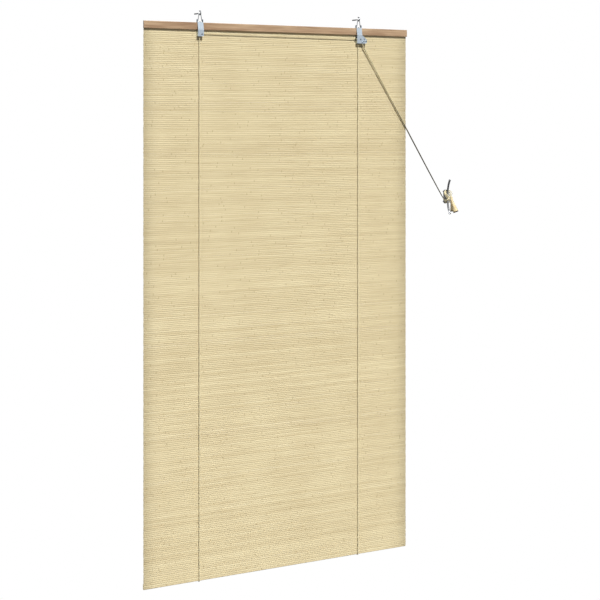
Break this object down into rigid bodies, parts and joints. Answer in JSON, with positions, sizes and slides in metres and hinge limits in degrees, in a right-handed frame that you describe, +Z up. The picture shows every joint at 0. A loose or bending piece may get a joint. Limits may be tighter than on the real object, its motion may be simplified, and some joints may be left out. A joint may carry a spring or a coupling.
{
  "type": "bamboo roll up blind",
  "caption": "Woven bamboo splint blind on a wooden head batten with pulley bracket, roller cord lock, lift cords, wall hooks, cleat and tassels.",
  "frame": {"origin": "on the wall surface, midway between the two screw hooks, on the line of their shanks", "axes": "+X along the head batten to the cord side, +Y into the wall, +Z up; the blind hangs down along -Z and faces -Y"},
  "size_m": [1.0867, 0.0649, 1.6368],
  "materials": {
    "bamboo": "matt split bamboo",
    "stained_wood": "satin stain",
    "galvanised_steel": "zinc plated",
    "bright_steel": "bright zinc",
    "pulley_plastic": "moulded black",
    "roller_brass": "knurled",
    "cord": "braided polyester",
    "tassel_wood": "clear satin lacquer",
    "tassel_cap": "dark stain"
  },
  "bodies": {
    "hung_blind": {"head_batten": "stained_wood", "bamboo_mat": "bamboo", "bottom_slat": "bamboo", "batten_staples": "bright_steel", "left_bracket": "galvanised_steel", "lock_housing": "galvanised_steel", "inlet_bush": "pulley_plastic", "bracket_screws": "bright_steel", "left_axle": "bright_steel", "right_axle": "bright_steel", "guide_rivets": "bright_steel", "left_bail": "bright_steel", "right_bail": "bright_steel", "left_wall_hook": "bright_steel", "right_wall_hook": "bright_steel", "left_cord": "cord", "right_cord": "cord", "left_tail": "cord", "right_tail": "cord", "anchor_knots": "cord", "cord_cleat": "bright_steel", "cleat_screws": "bright_steel", "cord_hitch": "cord", "tassel_knots": "cord", "left_tassel": "tassel_wood", "right_tassel": "tassel_wood", "left_tassel_cap": "tassel_cap", "right_tassel_cap": "tassel_cap"},
    "left_pulley_body": {"left_pulley": "pulley_plastic"},
    "right_pulley_body": {"right_pulley": "pulley_plastic"},
    "lock_pin_body": {"lock_pin": "bright_steel"},
    "lock_roller_body": {"lock_roller": "roller_brass"}
  },
  "joints": [
    {"name": "left_pulley_spin", "type": "hinge", "parent": "hung_blind", "child": "left_pulley_body", "pos_m": [-0.269, -0.0174, -0.0595], "axis": [0, 1, 0], "continuous": true},
    {"name": "right_pulley_spin", "type": "hinge", "parent": "hung_blind", "child": "right_pulley_body", "pos_m": [0.275, -0.0174, -0.0595], "axis": [0, 1, 0], "continuous": true},
    {"name": "lock_pin_slide", "type": "slide", "parent": "hung_blind", "child": "lock_pin_body", "axis": [0.7547, 0, 0.6561], "range_m": [0, 0.003]},
    {"name": "lock_roller_spin", "type": "hinge", "parent": "lock_pin_body", "child": "lock_roller_body", "pos_m": [0.2865, -0.0174, -0.066], "axis": [0, 1, 0], "continuous": true}
  ],
  "couplings": [
    {"joint": "left_pulley_spin", "follows": "right_pulley_spin", "ratio": 1}
  ]
}
